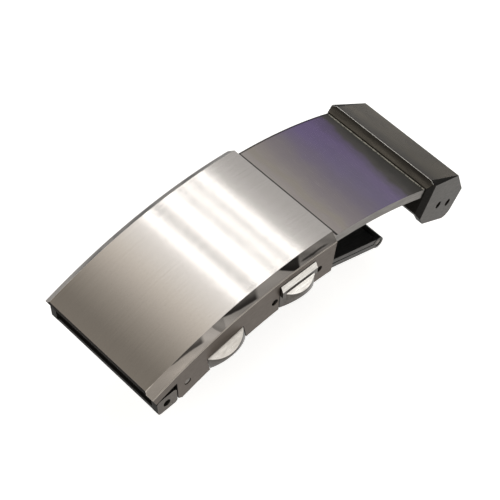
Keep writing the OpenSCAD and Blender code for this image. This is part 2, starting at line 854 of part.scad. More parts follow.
module link_outline() {
    difference() {
        polygon([
            [0, link_front_v], [link_top_inset, link_top_v],
            [link_top_inset + link_top_len, link_top_v - link_top_fall],
            link_rear, link_corner, link_low, [0, link_front_v - link_front_h]
        ]);
        translate(link_corner)
            rotate(-link_pitch)
                difference() {
                    translate([-link_corner_r, -past])
                        square(link_corner_r + past);
                    translate([-link_corner_r, link_corner_r])
                        circle(link_corner_r + corner_ease);
                }
    }
}

module link_channel() {
    rear = link_corner_at + 2 * past;
    half = (link_w / 2) - link_wall / cos(link_taper);
    front_half = half - link_wall * tan(link_taper);
    rear_half = half - rear * tan(link_taper);
    translate([0, 0, link_corner[1] - past])
        linear_extrude(link_ceiling_v - link_corner[1] + past)
            polygon([[link_wall, front_half], [rear, rear_half], [rear, -rear_half], [link_wall, -front_half]]);
}

module end_link() {
    arch_top = link_front_v - link_front_h + link_arch_h;
    color(steel_dark)
        stood()
            station(link_a)
                difference() {
                    across(clasp_w)
                        link_outline();
                    both_sides() {
                        side_waste(link_w / 2, -link_taper);
                        side_waste(link_front_w / 2, link_front_turn);
                        edge_wedge();
                    }
                    link_channel();
                    box([-past, -link_arch_w / 2, link_corner[1]],
                        [link_wall + past, link_arch_w / 2, arch_top]);
                    for (i = [0, 1])
                        rod(link_bar - i * bar_spacing * link_forward, bar_hole_d / 2, clasp_w + past);
                    tenons(seat_gap);
                }
}

// Straight stretch of a blade between two heights over the folded blades' middle line
module tail(low, high) {
    end = tail_top + running_gap * tail_along;
    polygon([fold_pos + low * tail_up, fold_pos + high * tail_up, end + high * tail_up, end + low * tail_up]);
}

module upper_blade() {
    window_a = stack_a(hinge_pos[0] + window_from_hinge);
    color(steel_black)
        stood()
            difference() {
                union() {
                    across(blade_w) {
                        translate(stack_centre)
                            sector(stack_a(hinge_pos[0]), tail_slope, upper_in_r, upper_out_r);
                        tail(blade_gap / 2, blade_gap / 2 + blade_t);
                    }
                    rod(hinge_pos, front_roll_r, blade_w);
                    rod(fold_pos, fold_roll_r, fold_roll_w);
                }
                on_stack()
                    across(2 * window_half)
                        sector(window_a, stack_a(hinge_pos[0] + window_from_hinge + window_len),
                            upper_in_r - past, upper_out_r + past);
                rod(hinge_pos, pin_d / 2 + running_gap, clasp_w);
                rod(fold_pos, fold_pin_d / 2 + running_gap, clasp_w);
                both_sides()
                    rod(fold_pos, fold_roll_r + fold_clear, half_w - fold_roll_w / 2,
                        (half_w + fold_roll_w / 2) / 2);
            }
}

module fold_hinge_pin() {
    color(steel_bright)
        stood()
            rod(fold_pos, fold_pin_d / 2, blade_w - 2 * hinge_pin_recess);
}

module lower_blade() {
    roll_in = fold_roll_w / 2 + fold_side_gap;
    color(steel_black)
        stood()
            difference() {
                union() {
                    across(blade_w) {
                        translate(stack_centre)
                            sector(stack_a(lower_front_x), tail_slope, lower_in_r, lower_out_r);
                        tail(-blade_gap / 2 - blade_t, -blade_gap / 2);
                    }
                    both_sides()
                        rod(fold_pos, fold_roll_r, blade_w / 2 - roll_in, (blade_w / 2 + roll_in) / 2);
                }
                rod(fold_pos, fold_pin_d / 2 + seat_gap, clasp_w);
                rod(fold_pos, fold_roll_r + fold_clear, 2 * roll_in);
                rivet_holes();
                catch_rivet_holes();
            }
}

// Places of the rivets, with Z away from the folded blades' centre
module at_fork_rivets() {
    on_stack()
        station(stack_a(fork_rivet_x))
            for (y = [-fork_rivet_y, fork_rivet_y])
                translate([0, y, 0])
                    children();
}

module at_catch() {
    on_stack()
        station(catch_a)
            children();
}

module at_catch_rivets() {
    at_catch()
        for (y = [-catch_rivet_y, catch_rivet_y])
            translate([0, y, 0])
                children();
}

module rivet_holes() {
    at_fork_rivets()
        translate([0, 0, floor_in_r - past])
            cylinder(h = lower_out_r - floor_in_r + 2 * past, d = rivet_d + 2 * seat_gap);
}

module catch_rivet_holes() {
    at_catch_rivets()
        translate([0, 0, lower_in_r - past])
            cylinder(h = lower_out_r - lower_in_r + 2 * past, d = rivet_d + 2 * seat_gap);
}

// What is left out of the fork's floor beside the blades
module floor_waste() {
    translate([bar_pos[0], 0, bar_pos[1]])
        rotate([0, -ear_lean, 0])
            both_sides()
                box([ear_back + floor_setback, blade_w / 2, -ear_low - past],
                    [floor_len + past, half_w + past, floor_t]);
}

module end_fork() {
    color(steel_dark)
        stood()
            difference() {
                union() {
                    difference() {
                        across(clasp_w - ear_t)
                            translate(bar_pos)
                                rotate(ear_lean)
                                    translate([-fork_front, -ear_low])
                                        square([fork_front + floor_len, floor_t]);
                        floor_waste();
                    }
                    rod(floor_join, floor_t / 2, blade_w - 2 * floor_setback);
                    across(blade_w - 2 * floor_setback)
                        translate(stack_centre)
                            sector(floor_join_a, stack_a(lower_front_x + floor_lap), floor_in_r, lower_in_r);
                    both_sides()
                        across(ear_t, half_w - ear_t / 2)
                            translate(bar_pos)
                                rotate(ear_lean)
                                    round_rect([-ear_front, -ear_low], [ear_back, ear_top], ear_corner_r);
                }
                rod(bar_pos, bar_hole_d / 2, clasp_w + 2 * past);
                rivet_holes();
            }
}

module fork_rivets() {
    color(steel_bright)
        stood()
            at_fork_rivets()
                translate([0, 0, floor_in_r + running_gap])
                    cylinder(h = lower_out_r - floor_in_r - 2 * running_gap, d = rivet_d);
}

module latch_catch() {
    color(steel_dark)
        stood()
            at_catch()
                translate([0, 0, lower_out_r])
                    difference() {
                        union() {
                            box([-catch_half, -catch_in - catch_t, 0],
                                [catch_half, catch_in + catch_t, catch_base_t]);
                            both_sides()
                                box([-catch_half, catch_in, 0], [catch_half, catch_in + catch_t, catch_h]);
                        }
                        both_sides()
                            box([-catch_half + catch_post, catch_in - past,
                                 catch_h - catch_bar_t - catch_slot_h],
                                [catch_half - catch_post, catch_in + catch_t + past, catch_h - catch_bar_t]);
                        for (y = [-catch_rivet_y, catch_rivet_y])
                            translate([0, y, -past])
                                cylinder(h = catch_base_t + 2 * past, d = rivet_d + 2 * seat_gap);
                    }
}

module catch_rivets() {
    low = lower_in_r + running_gap;
    top = lower_out_r + catch_base_t;
    color(steel_bright)
        stood()
            at_catch_rivets() {
                translate([0, 0, low])
                    cylinder(h = top - low + rivet_head_h, d = rivet_d);
                translate([0, 0, top])
                    cylinder(h = rivet_head_h, d = rivet_head_d);
            }
}

cover();
inner_frame();
hinge_pin();
front_cross_pin();
rear_cross_pin();
release_button_near();
release_button_far();
extension_button_near();
extension_button_far();
release_spring_near();
release_spring_far();
extension_spring_near();
extension_spring_far();
extension_plate();
stop_pins();
end_link();
upper_blade();
fold_hinge_pin();
lower_blade();
end_fork();
fork_rivets();
latch_catch();
catch_rivets();
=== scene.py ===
import json
import math

import bmesh
import bpy
from mathutils import Matrix, Vector


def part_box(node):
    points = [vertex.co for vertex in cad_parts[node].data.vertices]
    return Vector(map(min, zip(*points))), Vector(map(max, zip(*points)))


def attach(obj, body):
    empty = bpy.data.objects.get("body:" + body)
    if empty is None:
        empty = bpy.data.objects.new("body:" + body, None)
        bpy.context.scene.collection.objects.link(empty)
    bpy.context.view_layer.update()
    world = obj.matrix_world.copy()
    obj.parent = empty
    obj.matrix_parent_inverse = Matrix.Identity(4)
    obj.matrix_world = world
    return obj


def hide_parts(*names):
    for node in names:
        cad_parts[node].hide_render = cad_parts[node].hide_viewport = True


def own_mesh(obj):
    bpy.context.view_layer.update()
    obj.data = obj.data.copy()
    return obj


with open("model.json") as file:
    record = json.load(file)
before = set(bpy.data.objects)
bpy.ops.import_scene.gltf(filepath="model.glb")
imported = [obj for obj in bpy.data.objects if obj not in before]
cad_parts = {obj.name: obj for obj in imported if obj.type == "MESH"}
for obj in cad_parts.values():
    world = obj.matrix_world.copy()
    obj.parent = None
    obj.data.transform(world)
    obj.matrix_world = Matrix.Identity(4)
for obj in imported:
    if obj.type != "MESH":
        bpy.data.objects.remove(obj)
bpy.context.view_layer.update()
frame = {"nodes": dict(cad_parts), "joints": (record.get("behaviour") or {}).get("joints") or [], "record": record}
print("frame loaded")

mm = 0.001

arcShape = {  # the clasp is bent round this axis, which lies along Y
    "axisX": 2.20901, "axisZ": -43.5895, "topRadius": 56.05,  # mm
}


# Camera, at the photo's angle

photoView = {
    "target": (-3.1402, 0.0155, 4.7273),  # mm
    "distance": 211.82,  # mm
    "azimuth": -142.267, "elevation": 46.1814, "roll": 11.3456,  # degrees
    "focalPixels": 1830.5, "framePixels": 500, "sensorWidth": 36.0,
    "clipNear": 0.01, "clipFar": 20.0,  # m
}


def makeCamera(view):
    azimuth, elevation, roll = (math.radians(view[k]) for k in ("azimuth", "elevation", "roll"))
    level = math.cos(elevation)
    back = Vector((level * math.cos(azimuth), level * math.sin(azimuth), math.sin(elevation)))
    flatRight = (-back).cross(Vector((0, 0, 1))).normalized()
    flatUp = flatRight.cross(-back)
    right = flatRight * math.cos(roll) + flatUp * math.sin(roll)
    up = flatUp * math.cos(roll) - flatRight * math.sin(roll)
    data = bpy.data.cameras.new("photoCamera")
    data.sensor_fit = "HORIZONTAL"
    data.sensor_width = view["sensorWidth"]
    data.lens = view["focalPixels"] / view["framePixels"] * view["sensorWidth"]
    data.clip_start, data.clip_end = view["clipNear"], view["clipFar"]
    camera = bpy.data.objects.new("photoCamera", data)
    turn = Matrix((right, up, back)).transposed().to_4x4()
    place = (Vector(view["target"]) + back * view["distance"]) * mm
    camera.matrix_world = Matrix.Translation(place) @ turn
    bpy.context.scene.collection.objects.link(camera)
    bpy.context.scene.camera = camera


makeCamera(photoView)
print("camera placed")


# Shader maths

class Wire:  # one output socket that can be used in a Python expression
    def __init__(self, shader, socket):
        self.shader, self.socket = shader, socket

    def maths(self, operation, *others):
        return self.shader.node("Math", {"operation": operation}, [self, *others])["Value"]

    def __add__(self, other): return self.maths("ADD", other)
    def __sub__(self, other): return self.maths("SUBTRACT", other)
    def __mul__(self, other): return self.maths("MULTIPLY", other)
    def __truediv__(self, other): return self.maths("DIVIDE", other)
    def __pow__(self, other): return self.maths("POWER", other)
    def __gt__(self, other): return self.maths("GREATER_THAN", other)
    def __lt__(self, other): return self.maths("LESS_THAN", other)
    def __abs__(self): return self.maths("ABSOLUTE")
    def __rsub__(self, other): return self.shader.node("Math", {"operation": "SUBTRACT"}, [other, self])["Value"]
    __radd__, __rmul__ = __add__, __mul__

    def rise(self, low, high):  # 0 below low, 1 above high, smooth between
        settings = {"interpolation_type": "SMOOTHSTEP"}
        return self.shader.node("MapRange", settings, {"Value": self, "From Min": low, "From Max": high})["Result"]


class Shader:  # the nodes of one material, or of the sky
    def __init__(self, owner):
        owner.use_nodes = True
        self.tree = owner.node_tree
        self.tree.nodes.clear()

    def node(self, kind, settings=None, values=None):
        made = self.tree.nodes.new("ShaderNode" + kind)
        for key, value in (settings or {}).items():
            if key == "stops":
                ramp = made.color_ramp
                while len(ramp.elements) < len(value):
                    ramp.elements.new(1)
                for element, (place, colour) in zip(ramp.elements, value):
                    element.position, element.color = place, (*colour, 1)
            else:
                setattr(made, key, value)
        items = values.items() if isinstance(values, dict) else enumerate(values or [])
        for key, value in items:
            if isinstance(value, Wire):
                self.tree.links.new(value.socket, made.inputs[key])
            else:
                made.inputs[key].default_value = value
        return {s.name: Wire(self, s) for s in made.outputs if s.enabled}

    def mixed(self, share, low, high):
        low, high = ((*value, 1) if isinstance(value, tuple) else value for value in (low, high))
        values = {0: share, 6: low, 7: high}  # 6 and 7 are its colours
        return self.node("Mix", {"data_type": "RGBA"}, values)["Result"]

    def ramp(self, value, stops, interpolation):
        made = self.node("ValToRGB", {"stops": stops}, [value])
        self.tree.nodes[-1].color_ramp.interpolation = interpolation
        return made["Color"]


class Finish(Shader):  # one material of the clasp
    def __init__(self, name):
        self.material = bpy.data.materials.new(name)
        super().__init__(self.material)
        parts = self.node("SeparateXYZ", None, [self.node("TexCoord")["Object"]])
        x = (parts["X"] - arcShape["axisX"] * mm) / mm
        z = (parts["Z"] - arcShape["axisZ"] * mm) / mm
        self.y = parts["Y"] / mm
        self.radius = (x * x + z * z) ** 0.5
        self.along = x.maths("ARCTAN2", z) * arcShape["topRadius"]  # mm round the arc
        self.side = abs(self.y)

    def vector(self, x, y, z):
        return self.node("CombineXYZ", None, [x, y, z])["Vector"]

    def noise(self, vector, detail=3.0, roughness=0.55):
        values = {"Vector": vector, "Scale": 1.0, "Detail": detail, "Roughness": roughness}
        return self.node("TexNoise", {"noise_dimensions": "3D"}, values)["Fac"]

    # along, across and through: how fast the grain changes each way, per mm
    def grain(self, along, across, through=0.0, seed=0.0, detail=3.0, roughness=0.55):
        depth = self.radius * through if through else seed
        return self.noise(self.vector(self.along * along, self.y * across, depth), detail, roughness)

    def bump(self, height, distance, strength):  # distance in mm
        return self.node("Bump", None, {"Strength": strength, "Distance": distance * mm, "Height": height})["Normal"]

    def metal(self, colour, roughness, normal, metallic=1.0, **sockets):
        values = {"Base Color": colour, "Metallic": metallic, "Roughness": roughness, "Normal": normal, **sockets}
        shader = self.node("BsdfPrincipled", None, values)["BSDF"]
        self.node("OutputMaterial", None, {"Surface": shader})
        return self.material


# Finishes

# A pair that ends in Soft or Worn holds the values where a change begins and where it is complete.
coverLook = {  # places in mm, round the arc, across the clasp or from the arc's axis
    "warm": (0.60, 0.55, 0.49), "pale": (0.80, 0.77, 0.745), "worn": (0.34, 0.31, 0.285),
    # painted shade: the top is darker and warmer towards its front end, from darkEnd to paleFrom
    "darkEnd": -30.0, "paleFrom": -13.0, "shadeShare": 0.85, "shadeGrain": 0.14,
    "fineWorn": (0.35, 0.8), "saltWorn": (0.5, 0.75), "wornShare": 0.16,
    # painted shade: the walls' dark tone, varied by the rub grain
    "sides": (0.086, 0.069, 0.056), "sidesDark": (0.046, 0.037, 0.03), "rubWorn": (0.3, 0.75), "sidesShare": 0.4,
    "flatHalf": 8.02, "topLow": 55.7, "wallFrom": 8.9, "bevelLow": 55.13, "bevelDepth": 0.95,
    # the bevel's colour is a painted reflection: a brightness ramp round the arc, with dark wedges and a dark line
    "bevelStops": [(0.0, 0.66), (0.10, 0.66), (0.17, 0.52), (0.25, 0.38), (0.29, 0.46), (0.38, 0.40), (0.45, 0.30),
                   (0.58, 0.34), (0.68, 0.42), (0.76, 0.38), (0.85, 0.24), (0.92, 0.40), (0.96, 0.32), (1.0, 0.40)],
    "bevelFrom": -30.0, "bevelTo": -1.7, "bevelTint": (1.0, 0.93, 0.86),
    # painted shade on the far bevel
    "farBevel": (0.03, 0.027, 0.025), "farShare": 0.75,
    "leanMiddle": 55.6, "lean": 2.4,  # the painted reflections on the bevel lean forward
    "wanderAlong": 0.35, "wanderDown": 0.8, "wanderShift": 0.07, "wanderBend": 0.5,  # and are a little uneven
    "wedges": [  # dark wedges in the painted reflection: from and to, depth at the wide end as a share of the bevel, darkness, paler heart
        (-26.6, -21.6, 0.55, 0.84, 0.35), (-20.2, -18.4, 1.6, 0.5, 0.4), (-19.0, -13.4, 0.9, 0.92, 0.4),
        (-10.1, -6.9, 1.3, 0.97, 0.06)],
    "wedgeCurve": 0.75, "wedgeSlope": 0.5, "tipSoft": (0, 0.05), "tailSoft": (0.9, 1.03),
    "wedgeSoft": (-0.07, 0.05), "heartSoft": (-0.75, -0.15),
    "hairline": (-7.4, -2.4, 0.68, -0.06, 0.85),  # dark line in the painted reflection: from and to, how far down it starts, its rise, its darkness
    "hairTipSoft": (0, 0.15), "hairTailSoft": (0.75, 1), "hairSoft": (0.02, 0.13),
    "streak": (0.012, 0.01, 0.009),  # tone of the dark wedges and the dark line in the painted reflection
    "edgeLine": (0.62, 0.57, 0.51), "edgeLow": 55.0, "edgeHigh": 55.13,  # painted highlight along the near wall's top, made uneven by the rub grain
    "edgeShare": 0.35, "edgeRub": 0.5,
    "topRough": 0.05, "wallRough": 0.3, "bevelRough": 0.14, "farRough": 0.25,
    "fineRough": 0.05, "saltRough": 0.04, "rubRough": 0.2, "wanderRough": 0.08,
    "relief": 0.014, "reliefShare": 0.6, "fineHigh": 0.3, "coarseHigh": 0.05, "rubHigh": 0.12,
    "fine": {"along": 0.09, "across": 19, "through": 2, "detail": 4, "roughness": 0.6},
    "coarse": {"along": 0.05, "across": 3.4, "detail": 2},
    "salt": {"along": 3, "across": 7, "seed": 4, "roughness": 0.7},
    "rub": {"along": 0.9, "across": 6, "through": 7},
}


def coverFinish(look):
    f = Finish("coverFinish")
    fine, coarse, salt, rub = (f.grain(**look[name]) for name in ("fine", "coarse", "salt", "rub"))
    wander = f.noise(f.vector(f.along * look["wanderAlong"], f.radius * look["wanderDown"], 2)) - 0.5
    far = f.y > 0

    onTop = (f.side < look["flatHalf"]) * (f.radius > look["topLow"])
    onWall = (f.side > look["wallFrom"]) * (f.radius < look["bevelLow"])
    onBevel = 1 - onTop - onWall

    # painted shade: the top is darker and warmer towards the cover's front end
    shade = f.along.rise(look["darkEnd"], look["paleFrom"]) * look["shadeShare"]
    top = f.mixed(shade + (coarse - 0.5) * look["shadeGrain"], look["warm"], look["pale"])
    top = f.mixed((fine.rise(*look["fineWorn"]) + salt.rise(*look["saltWorn"])) * look["wornShare"], top, look["worn"])

    # painted reflection on the bevel, from here to the far bevel
    lean = f.along + (f.radius - look["leanMiddle"]) * look["lean"]
    place = (lean - look["bevelFrom"]) / (look["bevelTo"] - look["bevelFrom"]) + wander * look["wanderShift"]
    tinted = [(at, tuple(bright * part for part in look["bevelTint"])) for at, bright in look["bevelStops"]]
    bevel = f.ramp(place, tinted, "EASE")
    bend = wander * look["wanderBend"]
    across = (arcShape["topRadius"] - f.radius) / look["bevelDepth"] + bend  # 0 at the top, 1 at the wall
    for start, end, depth, dark, heart in look["wedges"]:
        share = (f.along + bend + across * look["wedgeSlope"] - start) / (end - start)
        edge = across - share ** look["wedgeCurve"] * depth  # below 0 inside the wedge
        inside = share.rise(*look["tipSoft"]) * (1 - share.rise(*look["tailSoft"]))
        inside = inside * (1 - edge.rise(*look["wedgeSoft"]))
        hollow = 1 - (1 - edge.rise(*look["heartSoft"])) * heart
        bevel = f.mixed(inside * dark * hollow, bevel, look["streak"])
    start, end, low, rise, dark = look["hairline"]
    share = (f.along - start) / (end - start)
    near = 1 - abs(across + share * rise - low).rise(*look["hairSoft"])
    inside = share.rise(*look["hairTipSoft"]) * (1 - share.rise(*look["hairTailSoft"])) * near
    bevel = f.mixed(inside * dark, bevel, look["streak"])
    # painted shade: the far bevel is darker
    bevel = f.mixed(far * look["farShare"], bevel, look["farBevel"])

    # painted shade: the walls are a dark copy of the cover's steel
    wall = f.mixed(rub.rise(*look["rubWorn"]) * look["sidesShare"], look["sides"], look["sidesDark"])
    # painted highlight along the near wall's top
    line = (f.radius > look["edgeLow"]) * (f.radius < look["edgeHigh"]) * (f.side > look["wallFrom"]) * (1 - far)
    wall = f.mixed(line * (look["edgeShare"] + rub * look["edgeRub"]), wall, look["edgeLine"])

    colour = f.mixed(onTop, f.mixed(onWall, bevel, wall), top)
    roughness = onTop * (look["topRough"] + fine * look["fineRough"] + salt * look["saltRough"])
    roughness = roughness + onWall * (look["wallRough"] + rub * look["rubRough"])
    bevelRough = look["bevelRough"] + (wander + 0.5) * look["wanderRough"] + far * look["farRough"]
    roughness = roughness + onBevel * bevelRough
    height = onTop * (fine * look["fineHigh"] + coarse * look["coarseHigh"]) + onWall * rub * look["rubHigh"]
    return f.metal(colour, roughness, f.bump(height, look["relief"], look["reliefShare"]))


plateLook = {  # places in mm, round the arc
    "stops": [(0.0, (0.57, 0.53, 0.50)), (0.15, (0.53, 0.48, 0.46)), (0.3, (0.47, 0.42, 0.45)),
              (0.45, (0.42, 0.37, 0.47)), (0.6, (0.43, 0.37, 0.56)), (0.72, (0.49, 0.40, 0.66)),
              (0.79, (0.43, 0.37, 0.52)), (0.86, (0.29, 0.272, 0.26)), (0.94, (0.21, 0.203, 0.187)),
              (1.0, (0.19, 0.182, 0.163))],
    "from": -1.5, "to": 15.9, "hazeShift": 0.16, "slant": 0.005,
    "violet": (0.41, 0.28, 0.70), "violetShare": 0.4,  # stronger towards the far side
    "violetFrom": -4, "violetWide": 12, "violetSoft": (0.3, 0.6), "violetEndSoft": (0.78, 0.86),
    "stain": (0.54, 0.50, 0.41), "stainAt": 1.0, "stainShare": 0.4, "stainWander": 2, "stainSoft": (0.1, 0.8),
    "scratch": (0.86, 0.83, 0.81), "hairShare": 0.16, "scratchShare": 0.14, "speckShare": 0.7,
    "hairWorn": (0.5, 0.9), "scratchWorn": (0.68, 0.76), "speckWorn": (0.755, 0.79),
    "slanting": (0.4, 2.2, 0.35, 0.1),  # how fast the slanting scratches change, per mm
    "seam": (0.75, 0.72, 0.62), "seamFrom": 15.2, "seamWidth": 0.26, "seamFade": 0.08,  # light line along the end link
    "seamWander": 0.3, "seamWorn": (0.3, 0.55),
    "shadow": (0.05, 0.047, 0.045), "shadowAt": -0.85, "shadowEnd": -0.47,  # dark line beside the cover
    "shadowRise": 0.1, "shadowFall": 0.12,
    "half": 8.05, "rimShare": 0.8, "rimSoft": (-0.22, -0.1),  # half width of the plate, painted shade on the far rim
    "rough": 0.17, "hairRough": 0.1, "speckRough": 0.25, "seamRough": 0.3,
    "relief": 0.006, "reliefShare": 0.3, "hairHigh": 0.4, "scratchHigh": 0.3,
    "haze": {"along": 0.2, "across": 0.24, "detail": 2},
    "hair": {"along": 6, "across": 0.5},
    "specks": {"along": 2.3, "across": 2.3, "seed": 7, "detail": 2, "roughness": 0.7},
    "dots": {"along": 2, "across": 3, "seed": 9, "roughness": 0.7},
}


def plateFinish(look):
    f = Finish("plateFinish")
    haze, hair, specks, dots = (f.grain(**look[name]) for name in ("haze", "hair", "specks", "dots"))
    haze, speck = haze - 0.5, specks.rise(*look["speckWorn"])
    a, b, c, d = look["slanting"]
    scratch = f.noise(f.vector(f.along * a + f.y * b, f.y * c - f.along * d, 3), detail=4)

    place = (f.along - look["from"]) / (look["to"] - look["from"]) + haze * look["hazeShift"] - f.y * look["slant"]
    violet = (f.y - look["violetFrom"]).rise(0, look["violetWide"])
    violet = violet * place.rise(*look["violetSoft"]) * (1 - place.rise(*look["violetEndSoft"]))
    colour = f.mixed(violet * look["violetShare"], f.ramp(place, look["stops"], "EASE"), look["violet"])
    stain = 1 - abs(f.along + haze * look["stainWander"] - look["stainAt"]).rise(*look["stainSoft"])
    colour = f.mixed(stain * look["stainShare"], colour, look["stain"])
    colour = f.mixed(hair.rise(*look["hairWorn"]) * look["hairShare"], colour, look["scratch"])
    colour = f.mixed(scratch.rise(*look["scratchWorn"]) * look["scratchShare"], colour, look["scratch"])
    colour = f.mixed(speck * look["speckShare"], colour, look["scratch"])

    past = f.along + (dots - 0.5) * look["seamWander"] - look["seamFrom"]
    ended = past.rise(look["seamWidth"], look["seamWidth"] + look["seamFade"])
    seam = past.rise(0, look["seamFade"]) * (1 - ended) * dots.rise(*look["seamWorn"])
    colour = f.mixed(seam, colour, look["seam"])
    begun = f.along.rise(look["shadowAt"], look["shadowAt"] + look["shadowRise"])
    line = begun * (1 - f.along.rise(look["shadowEnd"] - look["shadowFall"], look["shadowEnd"]))
    colour = f.mixed(line, colour, look["shadow"])
    # painted shade on the far rim
    rim = (f.side - look["half"]).rise(*look["rimSoft"]) * (f.y > 0)
    colour = f.mixed(rim * look["rimShare"], colour, look["shadow"])

    roughness = look["rough"] + hair * look["hairRough"] + speck * look["speckRough"] + seam * look["seamRough"]
    height = hair * look["hairHigh"] + scratch * look["scratchHigh"] + speck
    return f.metal(colour, roughness, f.bump(height, look["relief"], look["reliefShare"]))


metalLooks = {  # stretch: how fast the grain changes along, across and through the clasp, per mm
    # painted shade: the link's top is a darkened copy of its steel
    "linkTop": {
        "pale": (0.10, 0.084, 0.06), "dark": (0.042, 0.035, 0.025), "rough": 0.14, "stretch": (0.5, 0.35, 0.5),
        "relief": 0.004, "cloud": 0.4, "metallic": 0.72, "level": 0.5, "ior": 1.15,
        "fade": (16.5, 19.4, 0.75)},  # painted shade, darker towards the link's front edge: darkest at and full tone at, in mm round the arc, and its share
    # near-black painted shade on the cover's end and inner faces
    "coverEnd": {
        "pale": (0.02, 0.018, 0.016), "dark": (0.008, 0.007, 0.006), "rough": 0.34, "stretch": (4, 4, 4),
        "relief": 0.006, "metallic": 0.0, "level": 0.5, "ior": 1.13},
    # painted shade: the link's sides are a dark copy of its steel
    "linkSide": {
        "pale": (0.04, 0.034, 0.027), "dark": (0.013, 0.011, 0.009), "rough": 0.24, "stretch": (0.9, 6, 5),
        "relief": 0.003, "metallic": 0.15, "level": 0.5, "ior": 1.12},
    # painted highlight on the edge in front of the link's top
    "linkLine": {
        "pale": (0.95, 0.93, 0.88), "dark": (0.5, 0.48, 0.44), "rough": 0.3, "stretch": (3, 1.2, 3),
        "relief": 0.004},
    # painted shade: the link's other faces are dark, darker still round the arc towards 16.5 mm
    "linkDark": {
        "pale": (0.085, 0.077, 0.064), "dark": (0.03, 0.027, 0.023), "rough": 0.2, "stretch": (3, 0.4, 3),
        "relief": 0.005, "fade": (16.5, 15.7, 0.8)},
    # near-black painted shade inside the fork's mouth and on the link's front and chamfer faces
    "blackened": {
        "pale": (0.012, 0.011, 0.01), "dark": (0.004, 0.004, 0.003), "rough": 0.36, "stretch": (4, 4, 4),
        "relief": 0.006, "metallic": 0.0, "level": 0.5, "ior": 1.09},
    # painted shade: the cross pins sit dark in their holes
    "pinDark": {
        "pale": (0.05, 0.045, 0.04), "dark": (0.015, 0.013, 0.012), "rough": 0.3, "stretch": (5, 5, 5),
        "relief": 0.006, "metallic": 0.0, "level": 0.4, "ior": 1.5},
    # painted light: the buttons' up-facing tops are bright
    "buttonFace": {
        "pale": (0.92, 0.895, 0.85), "dark": (0.55, 0.52, 0.48), "rough": 0.22, "stretch": (0.8, 4, 7),
        "relief": 0.006},
    # painted shade: the buttons' rims are dark
    "buttonRim": {
        "pale": (0.095, 0.087, 0.079), "dark": (0.04, 0.037, 0.033), "rough": 0.24, "stretch": (1.5, 5, 5),
        "relief": 0.004},
    # painted shade on the blades, darkest on their tops
    "bladeTop": {
        "pale": (0.03, 0.032, 0.032), "dark": (0.006, 0.007, 0.007), "rough": 0.3, "stretch": (0.5, 5, 5),
        "relief": 0.008},
    "bladeEdge": {
        "pale": (0.045, 0.042, 0.038), "dark": (0.018, 0.017, 0.015), "rough": 0.32, "stretch": (0.5, 5, 5),
        "relief": 0.008},
    # painted shade on the plate's side faces
    "plateEdge": {
        "pale": (0.17, 0.16, 0.148), "dark": (0.07, 0.065, 0.06), "rough": 0.3, "stretch": (0.6, 5, 6),
        "relief": 0.006},
    # painted shade on the fork's outer ear faces
    "forkFinish": {
        "pale": (0.088, 0.075, 0.064), "dark": (0.03, 0.025, 0.021), "rough": 0.3, "stretch": (5, 5, 5),
        "relief": 0.008},
    "frameFinish": {
        "pale": (0.30, 0.285, 0.27), "dark": (0.12, 0.113, 0.106), "rough": 0.34, "stretch": (0.5, 5, 5),
        "relief": 0.008},
    "pinFinish": {
        "pale": (0.17, 0.155, 0.14), "dark": (0.06, 0.055, 0.05), "rough": 0.24, "stretch": (4, 0.5, 4),
        "relief": 0.004},
    "springFinish": {
        "pale": (0.50, 0.49, 0.47), "dark": (0.22, 0.21, 0.20), "rough": 0.22, "stretch": (8, 8, 8),
        "relief": 0.003},
}
metalWear = {  # the same on each of them
    "grainWorn": (0.3, 0.8), "grainShare": 0.7, "detail": 4, "roughness": 0.6,
    "clouds": {"along": 0.22, "across": 0.16, "through": 0.22, "detail": 1},
    "cloudWorn": (0.4, 0.7), "cloud": 0.3, "fadeTone": 0.3, "grainRough": 0.14, "reliefShare": 0.5,
}


def metalFinish(name):
    look, wear = metalLooks[name], metalWear
    f = Finish(name)
    grain = f.grain(*look["stretch"], detail=wear["detail"], roughness=wear["roughness"])
    cloud = f.grain(**wear["clouds"])
    colour = f.mixed(grain.rise(*wear["grainWorn"]) * wear["grainShare"], look["pale"], look["dark"])
    colour = f.mixed(cloud.rise(*wear["cloudWorn"]) * look.get("cloud", wear["cloud"]), colour, look["dark"])
    # painted shade: darker towards one end, round the arc
    if "fade" in look:
        darkAt, fullAt, share = look["fade"]
        shadeFadeColour = tuple(part * wear["fadeTone"] for part in look["dark"])
        colour = f.mixed((1 - f.along.rise(darkAt, fullAt)) * share, colour, shadeFadeColour)
    roughness = look["rough"] + grain * wear["grainRough"]
    dull = {}
    if "metallic" in look:  # a duller, less metallic surface for the looks whose dark colour is painted shade
        dull = {"metallic": look["metallic"], "Specular IOR Level": look["level"], "IOR": look["ior"]}
    return f.metal(colour, roughness, f.bump(grain, look["relief"], wear["reliefShare"]), **dull)


finishes = {name: metalFinish(name) for name in metalLooks}
finishes["coverFinish"] = coverFinish(coverLook)
finishes["plateFinish"] = plateFinish(plateLook)
print("finishes made")


# Dressed pieces: each CAD shape once more, with its edges rounded as worn steel has them

faceSplit = {  # limits for the parts of a face's normal, and places in mm
    "coverFront": -0.7, "coverTurned": 0.3, "coverUp": 0.3,
    "lineAbove": 9.3, "lineLean": (-0.32, 0.33), "lineTurned": 0.2,  # painted highlight on the edge in front of the link's top
    "cheekTurned": 0.62, "cheekFront": -0.2, "linkFront": -0.5, "frontBelow": 8.6, "chamferUp": 0.5,
    "topTurned": 0.18, "topLean": -0.1, "topUp": 0.6, "linkDown": -0.6, "linkRear": 0.6,
    "earTurned": 0.6, "earOutside": 8.5, "buttonUp": 0.45, "bladeUp": 0.75, "plateUp": 0.75,
}


